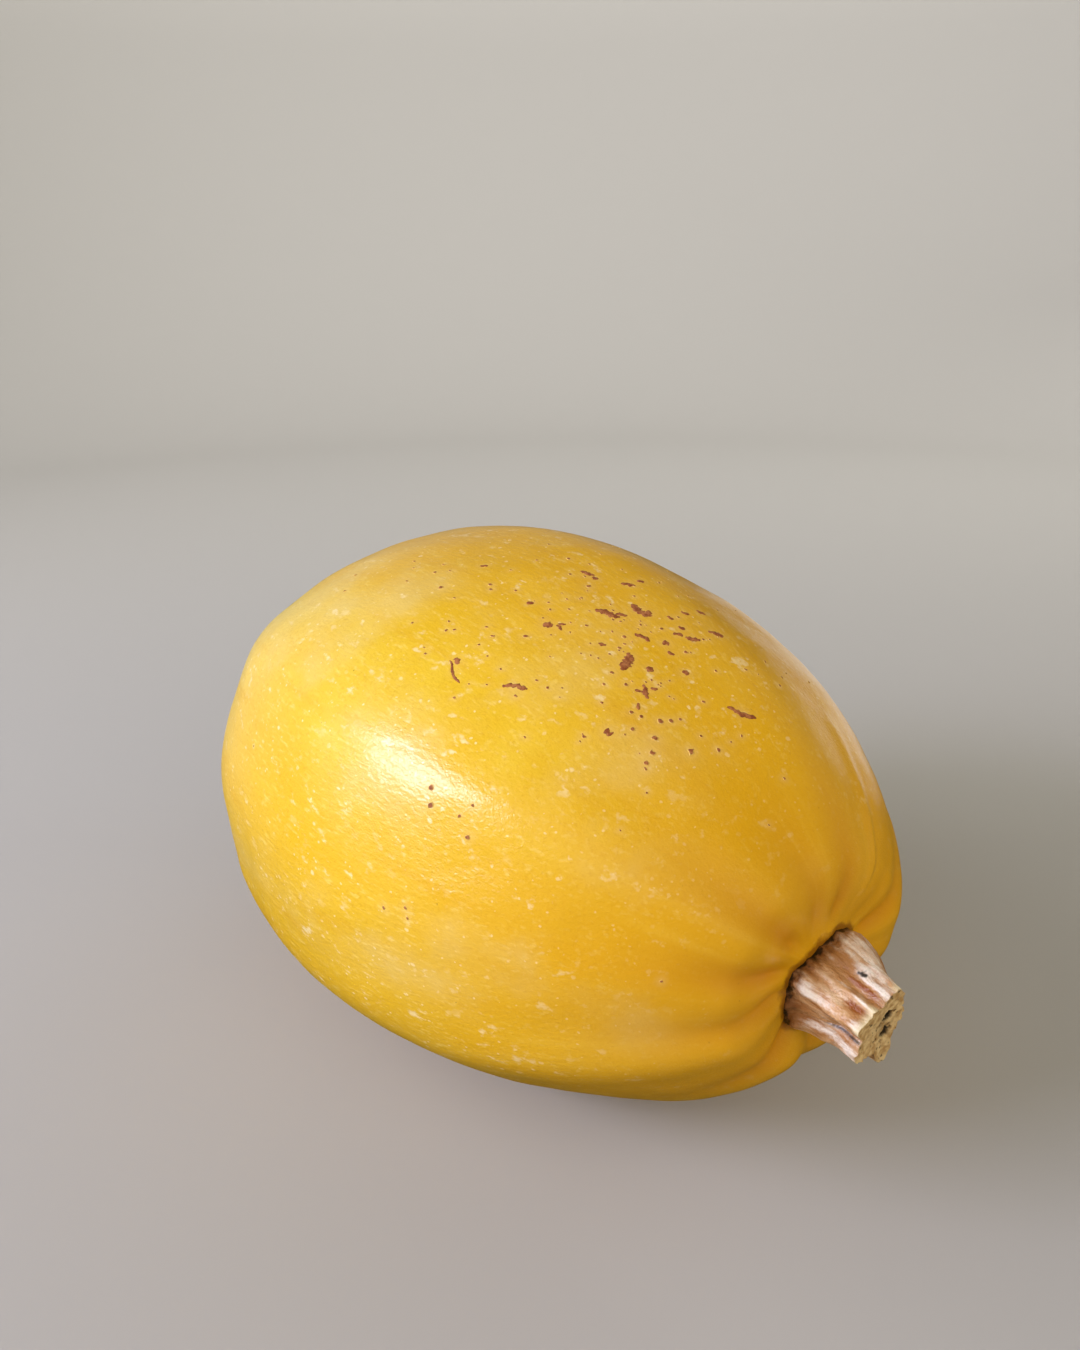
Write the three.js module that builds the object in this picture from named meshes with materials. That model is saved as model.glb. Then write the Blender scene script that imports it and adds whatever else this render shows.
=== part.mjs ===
import * as THREE from "three";
import { mergeVertices } from "three/addons/utils/BufferGeometryUtils.js";

// A spaghetti squash as picked: the fruit, and the short stem that it was cut from the vine with.
// Millimetres. It lies on its side: +X runs along the fruit to the stem, +Z is up, Z = 0 is the ground.
// Angles round the fruit or the stem are in degrees: 0 points to +Y, 90 up, 180 to -Y and 270 down.
// Places along the fruit run from -1, at the end where its blossom was, to 1, at the stem.

// Fruit
const HALF_LENGTH = 106.5;
const HALF_GIRTH = 72; // mean radius at the widest place, under the ribs
const BLUNTNESS = { blossom: 2.3, stem: 1.8 }; // 2 is an ellipse, and more is blunter
const TAPER = -0.03; // the girth at the stem against the middle
const WIDER = 0.075; // it ripened lying down, so it is this much wider, and as much lower, than round
const SIDEWAYS_BOW = -3.3; // how far the stem end is bowed away from the straight axis
const FLAT_SPOT_DEPTH = 1; // the belly is pressed flat by this much where it lay on the ground
const FLAT_SPOT_EDGE = 0.6; // height over which the flat spot rounds into the skin

// Ribs run from end to end: [angle, height]
const RIBS = [
  [8, 3.8], [32, 1.1], [45, 1.1], [76, 3.2], [118, 0.9], [138, 3.2],
  [170, 0.8], [203, 3.8], [253, 3.7], [286, 3.0], [315, 1.8], [342, 0.8],
];
const RIB_WIDTH = 12;

// Pleats are short creases that gather the skin round the stem: [angle, depth]
const PLEATS = [
  [16, 1.6], [38, 0.5], [76, 1.4], [100, 0.7], [131, 1.5], [161, 1.7],
  [190, 1.3], [238, 1.7], [270, 1.0], [300, 0.9], [330, 1.1],
];
const PLEAT_WIDTH = 8;
const PLEAT_START = { from: 9, to: 17 }; // distances from the axis over which they deepen
const PLEAT_FADE = { from: 15, over: 18 }; // and over which they die out in the skin

// The two ends of the fruit
const SEAT_DEPTH = 6; // the dip that the stem sits in
const SEAT_RADIUS = 10;
const SHOULDER_RADIUS = 26; // where the dip has risen to the skin again
const SCAR_DEPTH = 1.5; // the dried blossom's scar at the far end
const SCAR_RADIUS = 7;

// Stem: woody, with six ribs that widen or narrow towards the cut, drooping a little from the fruit's axis
const STEM_LENGTH = 16.5;
const STEM_TURN = { sideways: -4.5, down: 3.7 }; // degrees from +X
const CUT_TURN = { sideways: 0, down: 6.5 }; // the same, for the way that the knife's cut faces
const STEM_OFFSET = { side: -0.4, up: -2.4 }; // from the end of the fruit's axis
const STEM_FOOT_RADIUS = 9.0; // in the grooves between its ribs
const STEM_CUT_RADIUS = 6.4;
const STEM_RIBS = [ // [angle, height at the foot, height at the cut, width]
  [68, 0.8, 2.2, 23], [125, 0.1, 0.8, 10], [157, 1.2, 2.4, 15],
  [228, 2.6, 1.9, 24], [287, 2.0, 5.8, 17], [350, 1.6, 0.4, 19],
];
const SWELLINGS = [ // [angle, share of the length, height, width in degrees, width in shares]
  [36, 0.25, 4.2, 25, 0.42], [157, 0.2, 1.2, 13, 0.13], [112, 0, -1.1, 40, 0.3],
];
const STEM_GAP = 0.3; // clearance between the stem's foot and its seat

// Mesh fineness
const FRUIT_AROUND = 72;
const FRUIT_ALONG = 46;
const CROWDING = 1.35; // above 1, the rings crowd towards the stem, where the shape is finest
const STEM_AROUND = 60;
const STEM_ALONG = 10;

const { clamp, degToRad, euclideanModulo, lerp, radToDeg, smoothstep } = THREE.MathUtils;

// Sum of bell-shaped rises round the angles of a list of [angle, size]. A bell is full size on its own
// angle, and nearly 0 two widths away.
function bells(list, angle, width) {
  return list.reduce((sum, [centre, size]) => {
    const away = euclideanModulo(angle - centre + 180, 360) - 180;
    return sum + size * Math.exp(-((away / width) ** 2));
  }, 0);
}

// A point of the skin, before it is pressed flat below. The skin starts as an egg whose halves are
// ellipses of their own bluntness. Along the normal of the plain ellipsoid, it is moved out by its
// ribs, and in by its pleats and by the hollows at its ends.
function skinPoint(place, angle) {
  const ring = Math.sqrt(Math.max(1 - place * place, 0));
  const bluntness = place < 0 ? BLUNTNESS.blossom : BLUNTNESS.stem;
  const radius = HALF_GIRTH * Math.sqrt(1 - Math.abs(place) ** bluntness) * (1 + TAPER * place);
  const turn = degToRad(angle);
  const point = new THREE.Vector3(
    HALF_LENGTH * place,
    radius * (1 + WIDER) * Math.cos(turn),
    radius * (1 - WIDER) * Math.sin(turn),
  );

  let outward = bells(RIBS, angle, RIB_WIDTH) * ring * (0.6 + 0.4 * place * place);
  if (place > 0) {
    const deepened = smoothstep(radius, PLEAT_START.from, PLEAT_START.to);
    const faded = Math.exp(-((Math.max(radius - PLEAT_FADE.from, 0) / PLEAT_FADE.over) ** 2));
    outward -= bells(PLEATS, angle, PLEAT_WIDTH) * deepened * faded;
    outward -= SEAT_DEPTH * (1 - smoothstep(radius, SEAT_RADIUS, SHOULDER_RADIUS));
  } else {
    outward -= SCAR_DEPTH * (1 - smoothstep(radius, 0, SCAR_RADIUS));
  }
  const normal = new THREE.Vector3(
    point.x / HALF_LENGTH ** 2,
    point.y / HALF_GIRTH ** 2,
    point.z / HALF_GIRTH ** 2,
  ).normalize();
  point.addScaledVector(normal, outward);
  point.y += SIDEWAYS_BOW * (((place + 1) / 2) ** 2 - 0.25);
  return point;
}

// Height above the ground once pressed: flat at first, then a short parabola, then as it was
function pressed(height) {
  if (height <= 0) return 0;
  if (height < FLAT_SPOT_EDGE) return height ** 2 / (2 * FLAT_SPOT_EDGE);
  return height - FLAT_SPOT_EDGE / 2;
}

// A plain closed geometry with its vertices merged, each moved by a function
function reshaped(geometry, move) {
  geometry.deleteAttribute("normal");
  geometry.deleteAttribute("uv");
  const closed = mergeVertices(geometry, 1e-5);
  const vertices = closed.getAttribute("position");
  for (let i = 0; i < vertices.count; i++) {
    const moved = move(new THREE.Vector3().fromBufferAttribute(vertices, i));
    vertices.setXYZ(i, moved.x, moved.y, moved.z);
  }
  closed.computeVertexNormals();
  return closed;
}

// Fruit: a sphere whose poles are its two ends, moved out to the skin
function fruitGeometry() {
  const sphere = new THREE.SphereGeometry(1, FRUIT_AROUND, FRUIT_ALONG);
  return reshaped(sphere, (unit) => {
    const fromStem = Math.acos(clamp(unit.y, -1, 1)) / Math.PI;
    const place = Math.cos(Math.PI * fromStem ** CROWDING);
    return skinPoint(place, radToDeg(Math.atan2(unit.x, unit.z)));
  });
}

// Radius of the stem from its foot, share 0, to its cut, share 1
function stemRadius(share, angle) {
  const opened = (1 - share) ** 1.5;
  let radius = lerp(STEM_CUT_RADIUS, STEM_FOOT_RADIUS, opened);
  for (const [centre, atFoot, atCut, width] of STEM_RIBS) {
    radius += bells([[centre, lerp(atCut, atFoot, opened)]], angle, width);
  }
  for (const [centre, place, height, width, reach] of SWELLINGS) {
    radius += bells([[centre, height]], angle, width) * Math.exp(-(((share - place) / reach) ** 2));
  }
  return radius;
}

// Unit vector turned from +X sideways to +Y, and down
function pointing(turned) {
  const sideways = degToRad(turned.sideways);
  const down = degToRad(turned.down);
  return new THREE.Vector3(
    Math.cos(down) * Math.cos(sideways),
    Math.cos(down) * Math.sin(sideways),
    -Math.sin(down),
  );
}

// Stem: a cylinder whose rings shrink, and turn from the seat's plane to the knife cut's
function stemGeometry(ground) {
  const foot = skinPoint(1, 0);
  foot.add(new THREE.Vector3(STEM_GAP, STEM_OFFSET.side, STEM_OFFSET.up - ground - FLAT_SPOT_EDGE / 2));
  const along = pointing(STEM_TURN);
  const seatNormal = new THREE.Vector3(1, 0, 0);
  const cutNormal = pointing(CUT_TURN);

  const cylinder = new THREE.CylinderGeometry(1, 1, 1, STEM_AROUND, STEM_ALONG);
  return reshaped(cylinder, (unit) => {
    const share = unit.y + 0.5; // 0 at the foot, 1 at the cut
    const angle = radToDeg(Math.atan2(unit.x, unit.z));
    const reach = Math.hypot(unit.x, unit.z) * stemRadius(share, angle); // the caps' middles stay on the axis
    const normal = seatNormal.clone().lerp(cutNormal, share).normalize();
    const side = new THREE.Vector3(0, 1, 0).projectOnPlane(normal).normalize();
    const up = new THREE.Vector3().crossVectors(normal, side);
    return foot.clone()
      .addScaledVector(along, STEM_LENGTH * share)
      .addScaledVector(side, reach * Math.cos(degToRad(angle)))
      .addScaledVector(up, reach * Math.sin(degToRad(angle)));
  });
}

const skin = fruitGeometry();
skin.computeBoundingBox();
const ground = skin.boundingBox.min.z + FLAT_SPOT_DEPTH;

const squashBody = new THREE.Mesh(
  reshaped(skin, (point) => point.setZ(pressed(point.z - ground))),
  new THREE.MeshStandardMaterial({ color: "#e2b02c", roughness: 0.42, metalness: 0 }),
);
squashBody.name = "squash_body";

const stem = new THREE.Mesh(
  stemGeometry(ground),
  new THREE.MeshStandardMaterial({ color: "#b98d5c", roughness: 0.6, metalness: 0 }),
);
stem.name = "stem";

// The origin is on the ground, under the middle of the whole squash
const squash = new THREE.Group();
squash.add(squashBody, stem);
const middle = new THREE.Box3().setFromObject(squash).getCenter(new THREE.Vector3());
squash.position.set(-middle.x, -middle.y, 0);

export default squash;
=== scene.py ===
import bpy
import numpy as np
from mathutils import Matrix, Vector


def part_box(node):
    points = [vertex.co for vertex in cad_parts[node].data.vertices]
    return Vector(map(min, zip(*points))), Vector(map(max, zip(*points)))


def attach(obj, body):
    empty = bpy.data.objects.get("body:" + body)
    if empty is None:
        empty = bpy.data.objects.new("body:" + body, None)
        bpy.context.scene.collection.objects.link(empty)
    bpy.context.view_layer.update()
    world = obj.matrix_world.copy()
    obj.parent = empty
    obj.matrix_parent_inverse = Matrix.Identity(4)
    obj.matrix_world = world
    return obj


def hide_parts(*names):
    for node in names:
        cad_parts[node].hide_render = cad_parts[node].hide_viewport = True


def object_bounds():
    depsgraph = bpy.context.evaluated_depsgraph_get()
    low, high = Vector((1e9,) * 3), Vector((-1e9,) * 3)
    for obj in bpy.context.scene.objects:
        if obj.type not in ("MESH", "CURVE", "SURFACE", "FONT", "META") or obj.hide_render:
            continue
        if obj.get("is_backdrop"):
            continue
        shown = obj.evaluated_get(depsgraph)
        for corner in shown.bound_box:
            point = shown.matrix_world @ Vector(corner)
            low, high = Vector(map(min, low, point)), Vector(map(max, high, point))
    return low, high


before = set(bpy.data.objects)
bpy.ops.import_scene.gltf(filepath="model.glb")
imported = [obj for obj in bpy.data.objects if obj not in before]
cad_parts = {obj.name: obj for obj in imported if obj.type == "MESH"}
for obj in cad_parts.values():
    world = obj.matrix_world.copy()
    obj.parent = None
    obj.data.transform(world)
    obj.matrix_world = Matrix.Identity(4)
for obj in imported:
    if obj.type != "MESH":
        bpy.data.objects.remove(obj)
cad_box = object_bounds()

# Fruit
# One hard-shelled gourd that ripened lying on the ground. Low ribs run from end to end, the skin gathers in
# pleats round the stem, the belly is pressed flat, and a dried scar marks where the blossom was.

# Sizes are in metres, and angles round the fruit or the stem in degrees: 0 points to +Y, 90 up, 180 to -Y
# and 270 down. Places along the fruit run from -1, at the blossom's end, to 1, at the stem.
HALF_LENGTH = 0.1065
HALF_GIRTH = 0.072  # mean radius at the widest place, under the ribs
BLUNTNESS_AT_BLOSSOM = 2.3  # 2 is an ellipse, and more is blunter
BLUNTNESS_AT_STEM = 1.8
TAPER = -0.03  # the girth at the stem against the middle
WIDER = 0.075  # it is this much wider, and as much lower, than round
SIDEWAYS_BOW = -0.0033  # how far the stem end is bowed off the straight axis
FLAT_SPOT_DEPTH = 0.001
FLAT_SPOT_EDGE = 0.0006  # height over which the flat spot rounds into the skin
RIBS = [  # (angle, height)
    (8, 0.0038), (32, 0.0011), (45, 0.0011), (76, 0.0032), (118, 0.0009), (138, 0.0032),
    (170, 0.0008), (203, 0.0038), (253, 0.0037), (286, 0.0030), (315, 0.0018), (342, 0.0008),
]
RIB_WIDTH = 12
RIBS_HALFWAY = 0.6  # share of their height that the ribs keep halfway along the fruit
PLEATS = [  # (angle, depth)
    (16, 0.0016), (38, 0.0005), (76, 0.0014), (100, 0.0007), (131, 0.0015), (161, 0.0017),
    (190, 0.0013), (238, 0.0017), (270, 0.0010), (300, 0.0009), (330, 0.0011),
]
PLEAT_WIDTH = 8
PLEAT_START = (0.009, 0.017)  # distances from the axis over which the pleats deepen
PLEAT_FADE = (0.015, 0.018)  # from this distance on, they die out over this much more
SEAT_DEPTH = 0.006  # the dip that the stem sits in
SEAT_RADIUS = 0.010
SHOULDER_RADIUS = 0.026  # where the dip has risen to the skin again
SCAR_DEPTH = 0.0015
SCAR_RADIUS = 0.007
SEAM = [(55, 0.0005)]  # one rib has a sharp crest: (angle, height)
SEAM_WIDTH = 2.6
SEAM_START = (0.62, 0.82)  # places between which the crest rises from nothing to its height
SEAM_END = (0.98, 0.92)  # and the same from its other end, near the stem
LUMPS = [(0.060, 0.0003), (0.022, 0.00018), (0.009, 0.00005)]  # (length, height) of the skin's unevenness
RINGS = 285
RING_POINTS = 340
CROWDING = 1.2  # above 1, the rings crowd towards the stem, where the shape is finest


def bells(angle, marks, width):
    """Sum over the marks (centre, size) of size exp(-(away / width)^2), where away is the angle in degrees
    between a point and the mark's centre, the short way round."""
    total = np.zeros(np.shape(angle))
    for centre, size in marks:
        away = (angle - centre + 180) % 360 - 180
        total = total + size * np.exp(-((away / width) ** 2))
    return total


def smooth_step(value, low, high):
    """0 up to low, 1 from high on, and 3 s^2 - 2 s^3 between them, s being the share of the way. Where low is
    the greater of the two, the step falls instead of rising."""
    share = np.clip((value - low) / (high - low), 0, 1)
    return share * share * (3 - 2 * share)


def unevenness(points, length, seed):
    """A smooth field from about -1 to 1. It is a fifth of the sum of 12 sines, sin(2 pi p . d / l + start),
    each along its own random direction d, with lengths l from 0.7 to 1.4 times the one given."""
    random = np.random.default_rng(seed)
    directions = random.normal(size=(3, 12))
    directions = directions / np.linalg.norm(directions, axis=0)
    waves = directions * 2 * np.pi / (length * random.uniform(0.7, 1.4, 12))
    return np.sin(points @ waves + random.uniform(0, 2 * np.pi, 12)).sum(-1) / 5


def girth(place):
    """Radius of the smooth egg: R sqrt(1 - |x|^b) (1 + t x), each half with its own bluntness b."""
    bluntness = np.where(place < 0, BLUNTNESS_AT_BLOSSOM, BLUNTNESS_AT_STEM)
    return HALF_GIRTH * np.sqrt(np.maximum(1 - np.abs(place) ** bluntness, 0)) * (1 + TAPER * place)


def pleat_depth(place, angle):
    """Depth of the pleats: bells round the fruit, deepening from the seat and dying out in the skin."""
    radius = girth(place)
    faded = np.exp(-((np.maximum(radius - PLEAT_FADE[0], 0) / PLEAT_FADE[1]) ** 2))
    return bells(angle, PLEATS, PLEAT_WIDTH) * smooth_step(radius, *PLEAT_START) * faded * (place > 0)


def grown_skin(place, angle):
    """The skin before the ground pressed it: the egg (A x, r cos a, r sin a), made wider and lower, moved
    along the plain ellipsoid's normal by ribs - pleats + seam - seat - scar + lumps, and bowed along y by
    ((x + 1) / 2)^2 - 1/4. The ribs' height goes as (h + (1 - h) x^2) sqrt(1 - x^2), h being its share
    halfway along."""
    place, angle = np.broadcast_arrays(place, angle)
    radius = girth(place)
    turn = np.radians(angle)
    across = radius * (1 + WIDER) * np.cos(turn)
    up = radius * (1 - WIDER) * np.sin(turn)
    points = np.stack([HALF_LENGTH * place, across, up], axis=-1)

    ring = np.sqrt(np.maximum(1 - place**2, 0))
    outward = bells(angle, RIBS, RIB_WIDTH) * ring * (RIBS_HALFWAY + (1 - RIBS_HALFWAY) * place**2)
    outward = outward - pleat_depth(place, angle)
    seam = bells(angle, SEAM, SEAM_WIDTH) * smooth_step(place, *SEAM_START) * smooth_step(place, *SEAM_END)
    outward = outward + seam
    outward = outward - (place > 0) * SEAT_DEPTH * (1 - smooth_step(radius, SEAT_RADIUS, SHOULDER_RADIUS))
    outward = outward - (place < 0) * SCAR_DEPTH * (1 - smooth_step(radius, 0, SCAR_RADIUS))
    for seed, (length, height) in enumerate(LUMPS):
        outward = outward + height * unevenness(points, length, seed)
    normals = points / np.array([HALF_LENGTH, HALF_GIRTH, HALF_GIRTH]) ** 2
    points = points + outward[..., None] * normals / np.linalg.norm(normals, axis=-1, keepdims=True)
    points[..., 1] += SIDEWAYS_BOW * (((place + 1) / 2) ** 2 - 0.25)
    return points


ring_share = np.arange(1, RINGS + 1)[:, None] / (RINGS + 1)
ring_places = np.cos(np.pi * ring_share**CROWDING)
ring_angles = np.arange(RING_POINTS)[None, :] * 360 / RING_POINTS
unpressed = grown_skin(ring_places, ring_angles)
ground = unpressed[..., 2].min() + FLAT_SPOT_DEPTH
cad_low, cad_high = (np.array(corner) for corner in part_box("squash_body"))
middle = (unpressed.min((0, 1)) + unpressed.max((0, 1))) / 2
shift = (cad_low + cad_high) / 2 - middle
shift[2] = 0


def skin(place, angle):
    """The finished skin in the row frame: the grown skin, shifted to its place, with its height h above the
    ground pressed to 0 below it, h^2 / 2e in the edge e, and h - e / 2 above."""
    points = grown_skin(place, angle) + shift
    height = points[..., 2] - ground
    edge = FLAT_SPOT_EDGE
    rounded = np.clip(height, 0, edge) ** 2 / (2 * edge)
    points[..., 2] = rounded + np.maximum(height - edge, 0)
    return points


def ring_quads(rings):
    """Quads that join each ring of points to the next, with the vertex numbers of the points and of their
    neighbours round the ring. Point j of ring i is vertex i n + j, n being the points in a ring."""
    count, around = rings.shape[:2]
    grid = np.arange(count * around).reshape(count, around)
    turned = np.roll(grid, -1, axis=1)
    quads = np.stack([grid[:-1], grid[1:], turned[1:], turned[:-1]], axis=-1).reshape(-1, 4)
    return quads, grid, turned


def closed_surface(rings, first_pole, last_pole):
    """Vertices and faces of a closed surface: quads between its rings, and a fan of triangles round a pole
    at each of its two ends."""
    around = rings.shape[1]
    quads, grid, turned = ring_quads(rings)
    first = np.stack([np.full(around, grid.size), grid[0], turned[0]], axis=-1)
    last = np.stack([np.full(around, grid.size + 1), turned[-1], grid[-1]], axis=-1)
    vertices = np.concatenate([rings.reshape(-1, 3), [first_pole], [last_pole]])
    return vertices, quads.tolist() + first.tolist() + last.tolist()


def make_piece(name, vertices, faces):
    """A smooth-shaded object of that mesh, with its place in the mesh."""
    mesh = bpy.data.meshes.new(name)
    mesh.from_pydata(vertices.tolist(), [], faces)
    mesh.polygons.foreach_set("use_smooth", np.ones(len(mesh.polygons), bool))
    piece = bpy.data.objects.new(name, mesh)
    bpy.context.scene.collection.objects.link(piece)
    return piece


def store(piece, name, values, first_pole, last_pole):
    """Stores a number or a vector at each vertex of a closed surface, for its material to read."""
    vectors = values.ndim == 3
    flat = np.concatenate([values.reshape(-1, 3) if vectors else values.ravel(), [first_pole], [last_pole]])
    attribute = piece.data.attributes.new(name, "FLOAT_VECTOR" if vectors else "FLOAT", "POINT")
    attribute.data.foreach_set("vector" if vectors else "value", flat.ravel())


class Finish:
    """A procedural material while it is put together. Most methods add a node and return its output, and
    `colour` is the output that carries the colours laid so far."""

    def __init__(self, name, shader_values, colours=()):
        """Starts the shader from its own values, and mixes the named colours from their codes."""
        self.material = bpy.data.materials.new(name)
        self.material.use_nodes = True
        self.nodes = self.material.node_tree.nodes
        self.links = self.material.node_tree.links
        self.shader = self.nodes["Principled BSDF"]
        for socket, value in shader_values.items():
            self.shader.inputs[socket].default_value = value
        self.colours = {name: paint(code) for name, code in dict(colours).items()}

    def add(self, kind, inputs, output=0, **settings):
        """Adds a node. Inputs go by name or number, and take a value or another node's output."""
        made = self.nodes.new("ShaderNode" + kind)
        for name, value in settings.items():
            setattr(made, name, value)
        for socket, value in inputs.items():
            if isinstance(value, bpy.types.NodeSocket):
                self.links.new(value, made.inputs[socket])
            else:
                made.inputs[socket].default_value = value
        return made.outputs[output]

    def attribute(self, name, output="Vector"):
        """What the piece stores under that name: a vector or, with "Fac", a number."""
        return self.add("Attribute", {}, output, attribute_name=name)

    def stretched(self, vector, lengthwise):
        """Coordinates on which a pattern comes out this many times longer along the piece."""
        return self.add("VectorMath", {0: vector, 1: (1, 1, 1 / lengthwise)}, operation="MULTIPLY")

    def wandering(self, vector, size, far):
        """Coordinates pushed about by up to `far`, over lengths of `size`, so that edges turn ragged."""
        push = self.add("TexNoise", {"Vector": vector, "Scale": 1 / size, "Detail": 2}, "Color")
        centred = self.add("VectorMath", {0: push, 1: (0.5, 0.5, 0.5)}, operation="SUBTRACT")
        scaled = self.add("VectorMath", {0: centred, "Scale": 2 * far}, operation="SCALE")
        return self.add("VectorMath", {0: vector, 1: scaled}, operation="ADD")

    def noise(self, vector, size, detail=2, roughness=0.5):
        """Noise from 0 to 1 with patches of about `size`."""
        inputs = {"Vector": vector, "Scale": 1 / size, "Detail": detail, "Roughness": roughness}
        return self.add("TexNoise", inputs)

    def math(self, operation, first, second=0.0):
        """Two numbers made one, as by "ADD" or "MAXIMUM"."""
        return self.add("Math", {0: first, 1: second}, operation=operation)

    def times(self, first, second):
        """first times second."""
        return self.math("MULTIPLY", first, second)

    def between(self, value, low, high, at_low=0.0, at_high=1.0):
        """at_low where the value is low or less, at_high where it is high or more, and smooth between."""
        inputs = {0: value, 1: low, 2: high, 3: at_low, 4: at_high}
        return self.add("MapRange", inputs, interpolation_type="SMOOTHSTEP")

    def spots(self, vector, spacing, radius, share, softness):
        """1 in round spots and 0 outside. One spot is tried in each cell of about `spacing`, and a share
        of them shows, with radii up to the one given."""
        inputs = {"Vector": vector, "Scale": 1 / spacing}
        voronoi = self.add("TexVoronoi", inputs, "Distance").node
        lot = self.add("SeparateColor", {0: voronoi.outputs["Color"]})
        size = self.between(lot, 1 - share, 1.0, -softness / spacing, radius / spacing)
        inside = self.math("SUBTRACT", size, voronoi.outputs["Distance"])
        return self.between(inside, 0.0, softness / spacing)

    def mix(self, share, under, over):
        """The colour `over` laid on `under`, as thickly as the share says. Sockets 6 and 7 take colours."""
        inputs = {0: share, 6: under, 7: over}
        return self.add("Mix", inputs, 2, data_type="RGBA")

    def ground(self, share, first, second):
        """Starts the colour as a mottle of two named ones."""
        self.colour = self.mix(share, self.colours[first], self.colours[second])

    def lay(self, share, name):
        """Lays a named colour over those laid before it, as thickly as the share says."""
        self.colour = self.mix(share, self.colour, self.colours[name])

    def relief(self, height, depth, normal=None):
        """Bumps whose height, from 0 to 1, stands for `depth`, on top of an earlier relief."""
        inputs = {"Height": height, "Distance": depth}
        if normal is not None:
            inputs["Normal"] = normal
        return self.add("Bump", inputs)

    def done(self, roughness, normal):
        """Joins the colour, the roughness and the last relief to the shader, and returns the material."""
        self.links.new(self.colour, self.shader.inputs["Base Color"])
        self.links.new(roughness, self.shader.inputs["Roughness"])
        self.links.new(normal, self.shader.inputs["Normal"])
        self.links.new(normal, self.shader.inputs["Coat Normal"])
        return self.material


def paint(code):
    """Linear colour of a screen colour such as "e6b12c": each channel c becomes ((c + 0.055) / 1.055)^2.4."""
    screen = np.array([int(code[i:i + 2], 16) / 255 for i in (0, 2, 4)])
    return (*((screen + 0.055) / 1.055) ** 2.4, 1.0)


RIND_COLOURS = {
    "gold": "e4b820", "light gold": "e8c338", "pale end and sheen": "fbe8a0", "ripe and shaded": "de9f0c", "low side shade": "e0a808",
    "valley_shade": "dfa214", "light streak": "f1c640", "dark streak": "d89c12", "fibre": "f6d872",
    "speckle": "d0960e", "bloom": "e4ca80", "pinprick": "fbeaae", "fleck": "f9e2a4", "patch": "f5dc9c",
    "prick mark": "8f6a18", "ripest_and_shaded": "d59604", "pore rim": "eccd83", "pore": "8a5420", "callus": "e6c07a",
    "crease_shade": "c67a0c", "seat": "84490c", "dark cork": "6d4a2a", "light cork": "b58b58", "belly": "f0d9a0",
}
PINPRICKS = (0.0015, 0.00038, 0.65, 0.00018)  # spots: spacing, largest radius, share that shows, soft edge
FLECKS = (0.0024, 0.00066, 0.65, 0.0003)
PRICK_MARKS = (0.0045, 0.00030, 0.5, 0.0002)
PORE_RIMS = (0.013, 0.0013, 0.30, 0.0006)
PORES = (0.013, 0.00045, 0.30, 0.00015)


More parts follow.
